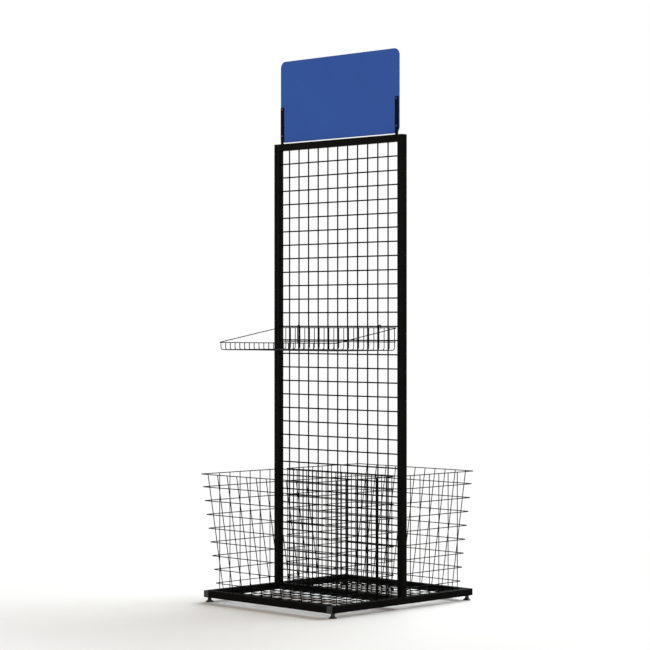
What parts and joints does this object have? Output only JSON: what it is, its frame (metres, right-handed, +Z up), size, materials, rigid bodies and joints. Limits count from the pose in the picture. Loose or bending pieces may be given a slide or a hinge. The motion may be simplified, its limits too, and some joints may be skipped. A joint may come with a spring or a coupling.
{
  "type": "wire display rack",
  "caption": "Free-standing shop display rack: tube base on levelling feet, upright wire panel, lift-out wire baskets front and rear, a hook-on wire shelf and a plain header board.",
  "frame": {"origin": "on the floor under the middle of the rack, at the middle of its base", "axes": "+X along the panel, to the right seen from the shelf side; +Y to the rear, away from the shelf; +Z up"},
  "size_m": [0.654, 0.8208, 1.972],
  "materials": {
    "black_coat": "black powder coat on steel, fine texture, half matt",
    "cap_plastic": "dark grey moulded plastic",
    "foot_plastic": "black moulded plastic",
    "black_zinc": "black zinc plate, half bright",
    "blue_board": "plain blue sheet, satin"
  },
  "bodies": {
    "frame": {"left_rail": "black_coat", "right_rail": "black_coat", "front_rail": "black_coat", "rear_rail": "black_coat", "centre_rail": "black_coat", "rail_caps": "cap_plastic", "foot_inserts": "black_zinc", "foot_lock_nuts": "black_zinc", "front_floor_mesh": "black_coat", "rear_floor_mesh": "black_coat", "left_upright": "black_coat", "right_upright": "black_coat", "upright_caps": "cap_plastic", "top_rail": "black_coat", "panel_upright_wires": "black_coat", "panel_cross_wires": "black_coat"},
    "front_left_foot": {"front_left_foot_pad": "foot_plastic", "front_left_foot_stud": "black_zinc"},
    "front_right_foot": {"front_right_foot_pad": "foot_plastic", "front_right_foot_stud": "black_zinc"},
    "rear_left_foot": {"rear_left_foot_pad": "foot_plastic", "rear_left_foot_stud": "black_zinc"},
    "rear_right_foot": {"rear_right_foot_pad": "foot_plastic", "rear_right_foot_stud": "black_zinc"},
    "front_basket": {"front_basket_rim": "black_coat", "front_basket_outer_wall": "black_coat", "front_basket_back_wall": "black_coat", "front_basket_left_wall": "black_coat", "front_basket_right_wall": "black_coat", "front_basket_foot_ring": "black_coat"},
    "rear_basket": {"rear_basket_rim": "black_coat", "rear_basket_outer_wall": "black_coat", "rear_basket_back_wall": "black_coat", "rear_basket_left_wall": "black_coat", "rear_basket_right_wall": "black_coat", "rear_basket_foot_ring": "black_coat"},
    "shelf": {"shelf_rim": "black_coat", "shelf_tray": "black_coat", "left_shelf_hook": "black_coat", "right_shelf_hook": "black_coat"},
    "header_sign": {"header_board": "blue_board", "left_board_bracket": "black_coat", "right_board_bracket": "black_coat", "bracket_screws": "black_zinc", "bracket_nuts": "black_zinc"}
  },
  "joints": [
    {"name": "front_left_foot_screw", "type": "slide", "parent": "frame", "child": "front_left_foot", "axis": [0, 0, -1], "range_m": [0, 0.012]},
    {"name": "front_right_foot_screw", "type": "slide", "parent": "frame", "child": "front_right_foot", "axis": [0, 0, -1], "range_m": [0, 0.012]},
    {"name": "rear_left_foot_screw", "type": "slide", "parent": "frame", "child": "rear_left_foot", "axis": [0, 0, -1], "range_m": [0, 0.012]},
    {"name": "rear_right_foot_screw", "type": "slide", "parent": "frame", "child": "rear_right_foot", "axis": [0, 0, -1], "range_m": [0, 0.012]},
    {"name": "front_basket_lift", "type": "slide", "parent": "frame", "child": "front_basket", "axis": [0, 0, 1], "range_m": [0, 0.4]},
    {"name": "rear_basket_lift", "type": "slide", "parent": "frame", "child": "rear_basket", "axis": [0, 0, 1], "range_m": [0, 0.4]},
    {"name": "shelf_tilt", "type": "hinge", "parent": "frame", "child": "shelf", "pos_m": [0, -0.0008, 0.992], "axis": [-1, 0, 0], "range_deg": [0, 60]},
    {"name": "header_sign_lift", "type": "slide", "parent": "frame", "child": "header_sign", "axis": [0, 0, 1], "range_m": [0, 0.03]}
  ]
}
